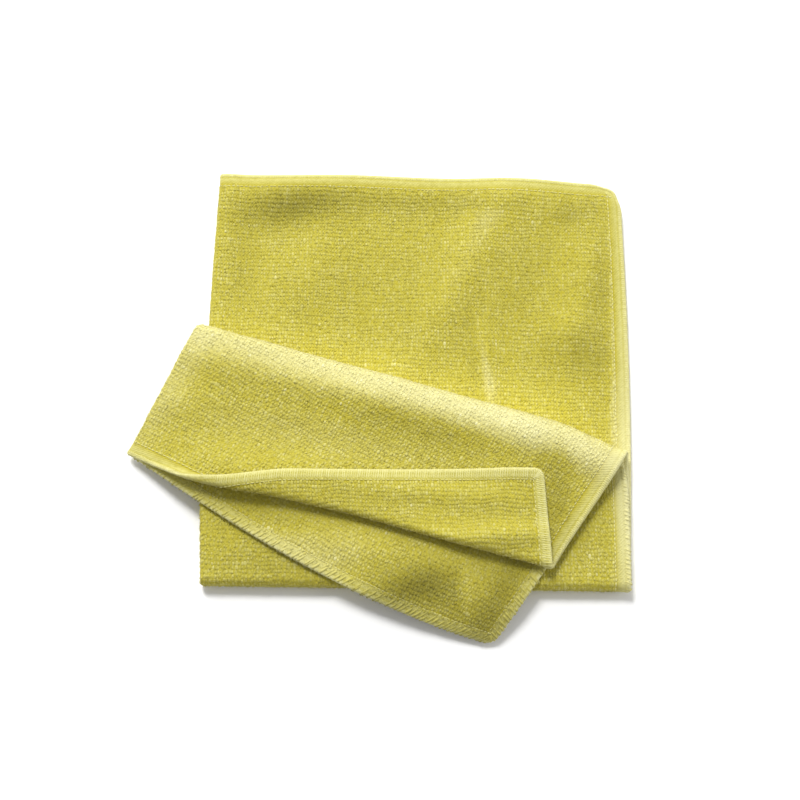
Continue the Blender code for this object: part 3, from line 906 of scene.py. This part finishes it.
class Nodes:
    """A few words for building a material's nodes."""

    def __init__(self, name):
        self.material = bpy.data.materials.new(name)
        self.material.use_nodes = True
        self.tree = self.material.node_tree
        self.shader = self.tree.nodes["Principled BSDF"]

    def add(self, kind, **settings):
        node = self.tree.nodes.new(kind)
        for name, value in settings.items():
            setattr(node, name, value)
        return node

    def put(self, socket, value):
        if isinstance(value, bpy.types.NodeSocket):
            self.tree.links.new(value, socket)
        else:
            socket.default_value = value

    def maths(self, operation, first, second=0.0):
        node = self.add("ShaderNodeMath", operation=operation)
        self.put(node.inputs[0], first)
        self.put(node.inputs[1], second)
        return node.outputs[0]

    def ramp(self, value, stops):
        node = self.add("ShaderNodeValToRGB")
        elements = node.color_ramp.elements
        while len(elements) < len(stops):
            elements.new(0.5)
        for element, (position, colour) in zip(elements, stops):
            element.position = position
            element.color = (*colour, 1.0)
        self.put(node.inputs["Fac"], value)
        return node.outputs["Color"]

    def mix(self, factor, first, second, blend="MIX"):
        node = self.add("ShaderNodeMix", data_type="RGBA", blend_type=blend)
        self.put(node.inputs[MIX_FACTOR], factor)
        self.put(node.inputs[MIX_FIRST], first)
        self.put(node.inputs[MIX_SECOND], second)
        return node.outputs[MIX_RESULT]

    def attribute(self, name):
        return self.add("ShaderNodeAttribute", attribute_name=name).outputs["Fac"]

    def paint(self, colour):
        """Sets the colour, with painted light and shade, partly the pile's lay, and painted bounce
        light.
        """
        lay_and_painted_light = self.attribute("nap_and_painted_light")
        # Painted light pales the colour towards BRIGHT, painted shade darkens it, painted bounce light
        # brightens it
        paler = self.mix(self.maths("MULTIPLY", lay_and_painted_light, PALER), colour, (*BRIGHT, 1.0))
        light = self.maths("ADD", self.maths("MINIMUM", lay_and_painted_light, 0.0), 1.0)
        light = self.maths("ADD", light, self.attribute("painted_bounce_light"))
        self.put(self.shader.inputs["Base Color"], self.mix(1.0, paler, light, "MULTIPLY"))

    def ribs(self, pitch):
        """Waves across the hem, so far apart along the panel's edges."""
        place = self.add("ShaderNodeSeparateXYZ")
        self.put(place.inputs[0], self.add("ShaderNodeTexCoord").outputs["UV"])
        along = self.maths("ADD", place.outputs["X"], place.outputs["Y"])
        return self.maths("SINE", self.maths("MULTIPLY", along, 2 * math.pi * SIDE / pitch))

    def noise(self, scale, detail=2.0, roughness=0.5):
        place = self.add("ShaderNodeTexCoord").outputs["Object"]
        node = self.add("ShaderNodeTexNoise")
        self.put(node.inputs["Vector"], place)
        self.put(node.inputs["Scale"], scale)
        self.put(node.inputs["Detail"], detail)
        self.put(node.inputs["Roughness"], roughness)
        return node.outputs["Fac"]

    def bump(self, height, strength, distance):
        node = self.add("ShaderNodeBump")
        self.put(node.inputs["Strength"], strength)
        self.put(node.inputs["Distance"], distance)
        self.put(node.inputs["Height"], height)
        self.put(self.shader.inputs["Normal"], node.outputs["Normal"])


SHEEN_ROUGHNESS = 0.45
SHEEN_TINT = (1.0, 0.97, 0.75, 1.0)
FABRIC_SPECULAR = 0.25


def fabric(nodes, roughness, sheen):
    """Sets what all three materials share: a matt surface with a soft sheen."""
    nodes.put(nodes.shader.inputs["Roughness"], roughness)
    nodes.put(nodes.shader.inputs["Sheen Weight"], sheen)
    nodes.put(nodes.shader.inputs["Sheen Roughness"], SHEEN_ROUGHNESS)
    nodes.put(nodes.shader.inputs["Sheen Tint"], SHEEN_TINT)
    nodes.put(nodes.shader.inputs["Specular IOR Level"], FABRIC_SPECULAR)


# The pile's tones: painted shade darkens it towards DEEP and painted light pales it towards BRIGHT;
# SHADED is also the ground's painted shade between the loops
DEEP = (0.33, 0.285, 0.02)
SHADED = (0.46, 0.395, 0.03)
YELLOW = (0.485, 0.435, 0.07)
PALE = (0.585, 0.54, 0.165)
BRIGHT = (0.75, 0.72, 0.42)
# HEM_EDGE, the hem's rim, is pale and paler still as painted light; it is also the thread's lightest
# tone
HEM_EDGE = (0.70, 0.67, 0.32)
HEM_PALE = (0.57, 0.53, 0.17)
HEM_YELLOW = (0.50, 0.45, 0.09)
HEM_DULL = (0.84, 0.82, 0.62)
WHITE = (1.0, 1.0, 1.0)
# How strongly painted light, with a lighter lay of the pile, pales the colour
PALER = 2.5
# The hem's bands are spread over the first, and its colour ends the second before the back's pile
HEM_SPAN = 8 * MM
HEM_SHORT = 0.4 * MM
# Fine ribs across the hem, and their share of the ground's bump
RIB_PITCH = 1.5 * MM
RIB_SHARE = 0.10
# What each loop's own tone, a slow drift and the painted light and shade, partly the pile's lay, add
# to the pile's tone
OWN_SHARE = 0.7
DRIFT_SHARE = 0.3
NAP_AND_PAINTED_LIGHT_SHARE = 0.4


def ground_material():
    """The knit's ground, painted darker and deeper than the loops as shade between them, and the hem's
    bands.
    """
    nodes = Nodes("microfibre_ground")
    fabric(nodes, roughness=0.9, sheen=0.15)
    uneven = nodes.noise(scale=900.0, detail=2.0, roughness=0.7)
    # The ground's darker yellows are painted shade between the loops
    knit_colour = nodes.ramp(uneven, ((0.3, SHADED), (0.8, YELLOW)))
    across_hem = nodes.maths("MULTIPLY", nodes.attribute("depth"), 1 / HEM_SPAN)
    # At its rim the hem is paler still, as painted light
    bands = (
        (0.0, HEM_EDGE),
        (0.22, HEM_PALE),
        (0.30, HEM_YELLOW),
        (0.42, HEM_PALE),
        (0.68, HEM_YELLOW),
        (0.80, SHADED),
    )
    hem_colour = nodes.ramp(across_hem, bands)
    mottled = nodes.noise(scale=420.0, detail=3.0, roughness=0.7)
    mottled = nodes.ramp(mottled, ((0.3, HEM_DULL), (0.65, WHITE)))
    hem_colour = nodes.mix(1.0, hem_colour, mottled, "MULTIPLY")
    is_hem = nodes.maths("LESS_THAN", nodes.attribute("depth"), PILE_FROM[-1] - HEM_SHORT)
    nodes.paint(nodes.mix(is_hem, knit_colour, hem_colour))
    ribs = nodes.maths("MULTIPLY", nodes.ribs(RIB_PITCH), RIB_SHARE)
    nodes.bump(nodes.maths("ADD", uneven, ribs), strength=0.7, distance=0.0006)
    return nodes.material


def pile_material():
    """The loops and fibres, each with its own tone."""
    nodes = Nodes("microfibre_pile")
    fabric(nodes, roughness=0.9, sheen=0.6)
    drift = nodes.noise(scale=55.0, detail=3.0, roughness=0.6)
    tone = nodes.maths("MULTIPLY_ADD", nodes.attribute("tone"), OWN_SHARE)
    nodes.put(tone.node.inputs[2], nodes.maths("MULTIPLY", drift, DRIFT_SHARE))
    # Painted light and shade shift the tone
    tone = nodes.maths("ADD", tone, nodes.maths("MULTIPLY", nodes.attribute("nap_and_painted_light"), NAP_AND_PAINTED_LIGHT_SHARE))
    stops = ((0.0, DEEP), (0.2, SHADED), (0.45, YELLOW), (0.8, PALE), (1.0, BRIGHT))
    nodes.paint(nodes.ramp(tone, stops))
    grain = nodes.noise(scale=3500.0, detail=2.0, roughness=0.6)
    nodes.bump(grain, strength=0.3, distance=0.0002)
    return nodes.material


def thread_material():
    """The overlock thread, each strand with its own tone."""
    nodes = Nodes("overlock_thread")
    fabric(nodes, roughness=0.75, sheen=0.2)
    colour = nodes.ramp(nodes.attribute("tone"), ((0.0, HEM_YELLOW), (1.0, HEM_EDGE)))
    nodes.paint(colour)
    grain = nodes.noise(scale=5000.0, detail=1.0, roughness=0.5)
    nodes.bump(grain, strength=0.4, distance=0.0001)
    return nodes.material


def add_cloth():
    panel, triangles, rim = folded_sheet()
    verts, faces, panels, depth = cloth_mesh(panel, triangles, rim)
    values = {"depth": depth, **painted_light_and_lay(panels)}
    cloth = add_mesh("microfibre_cloth", verts, faces, panels, values, ground_material())
    tree = BVHTree.FromPolygons(verts.tolist(), faces.tolist())
    with_pieces = []

    material = pile_material()
    loops, loop_faces, spots, tone = pile(tree)
    for number, first in enumerate(range(0, len(loops), LOOPS_A_PIECE)):
        part = slice(first, first + LOOPS_A_PIECE)
        count, each = loops[part].shape[:2]
        faces = (loop_faces[None] + (np.arange(count) * each)[:, None, None]).reshape(-1, 3)
        panels = np.repeat(spots[part], each, axis=0)
        values = {"tone": np.repeat(tone[part], each), **painted_light_and_lay(panels)}
        verts = loops[part].reshape(-1, 3)
        made = add_mesh(f"pile_{number + 1}", verts, faces, panels, values, material)
        with_pieces.append(made)

    fibres, chosen = fuzz(loops)
    panels = np.repeat(spots[chosen], 3, axis=0)
    fibre_tone = RNG.uniform(*FIBRE_TONES, len(fibres))
    values = {"tone": np.repeat(fibre_tone, 3), **painted_light_and_lay(panels)}
    faces = np.arange(3 * len(fibres)).reshape(-1, 3)
    made = add_mesh("fuzz", fibres.reshape(-1, 3), faces, panels, values, material)
    with_pieces.append(made)

    verts, faces, panels, tone = overlock()
    values = {"tone": tone, **painted_light_and_lay(panels)}
    thread = add_mesh("overlock_thread", verts, faces, panels, values, thread_material())
    with_pieces.append(thread)

    for piece in (cloth, *with_pieces):
        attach(piece, "root")
    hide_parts("cloth")


# ---- Floor, light and camera ----

CAMERA_ELEVATION = math.radians(76)
CAMERA_DISTANCE = 644.85 * MM
CAMERA_ROLL = math.radians(0.79)
CAMERA_TARGET = Vector((9.46 * MM, 0.92 * MM, 0.0))
SENSOR_WIDTH = 36.0
PICTURE_WIDTH = 800
FOCAL_PIXELS = 1323.5
FOCAL_LENGTH = FOCAL_PIXELS / PICTURE_WIDTH * SENSOR_WIDTH


def add_camera():
    forward = Vector((0, math.cos(CAMERA_ELEVATION), -math.sin(CAMERA_ELEVATION)))
    level = Vector((1, 0, 0))
    steep = level.cross(forward)
    right = level * math.cos(CAMERA_ROLL) + steep * math.sin(CAMERA_ROLL)
    up = right.cross(forward)
    data = bpy.data.cameras.new("camera")
    data.sensor_width = SENSOR_WIDTH
    data.sensor_fit = "HORIZONTAL"
    data.lens = FOCAL_LENGTH
    camera = bpy.data.objects.new("camera", data)
    turned = Matrix((right, up, -forward)).transposed().to_4x4()
    camera.matrix_world = Matrix.Translation(CAMERA_TARGET - forward * CAMERA_DISTANCE) @ turned
    bpy.context.collection.objects.link(camera)
    bpy.context.scene.camera = camera


FLOOR_HALF = 3.0
FLOOR_COLOUR = (0.97, 0.97, 0.97, 1.0)


def add_floor():
    mesh = bpy.data.meshes.new("floor")
    corners = [(x * FLOOR_HALF, y * FLOOR_HALF, 0) for x, y in ((-1, -1), (1, -1), (1, 1), (-1, 1))]
    mesh.from_pydata(corners, [], [(0, 1, 2, 3)])
    floor = bpy.data.objects.new("floor", mesh)
    nodes = Nodes("pale_floor")
    nodes.put(nodes.shader.inputs["Base Color"], FLOOR_COLOUR)
    nodes.put(nodes.shader.inputs["Roughness"], 0.9)
    nodes.put(nodes.shader.inputs["Specular IOR Level"], 0.1)
    mesh.materials.append(nodes.material)
    bpy.context.collection.objects.link(floor)


WORLD_STRENGTH = 0.40
LIGHT_COLUMNS = ("name", "place", "size", "power")
LIGHTS = (
    ("softbox", (-0.31, 0.88, 1.36), 0.5, 20.6),
    ("low_softbox", (-0.44, 1.27, 0.86), 1.0, 16.8),
    ("right_fill", (1.3, 0.0, 0.45), 0.9, 5.6),
)


def add_light(name, place, size, power):
    """A round light that faces the middle of the cloth."""
    data = bpy.data.lights.new(name, "AREA")
    data.shape = "DISK"
    data.size = size
    data.energy = power
    light = bpy.data.objects.new(name, data)
    light.location = place
    light.rotation_euler = Vector(place).to_track_quat("Z", "Y").to_euler()
    bpy.context.collection.objects.link(light)


def add_lights():
    for row in LIGHTS:
        add_light(**dict(zip(LIGHT_COLUMNS, row)))
    world = bpy.data.worlds.new("studio")
    world.use_nodes = True
    background = world.node_tree.nodes["Background"]
    background.inputs["Color"].default_value = (1.0, 1.0, 1.0, 1.0)
    background.inputs["Strength"].default_value = WORLD_STRENGTH
    bpy.context.scene.world = world
    bpy.context.scene.view_settings.view_transform = "Standard"


add_camera()
add_floor()
add_lights()
add_cloth()
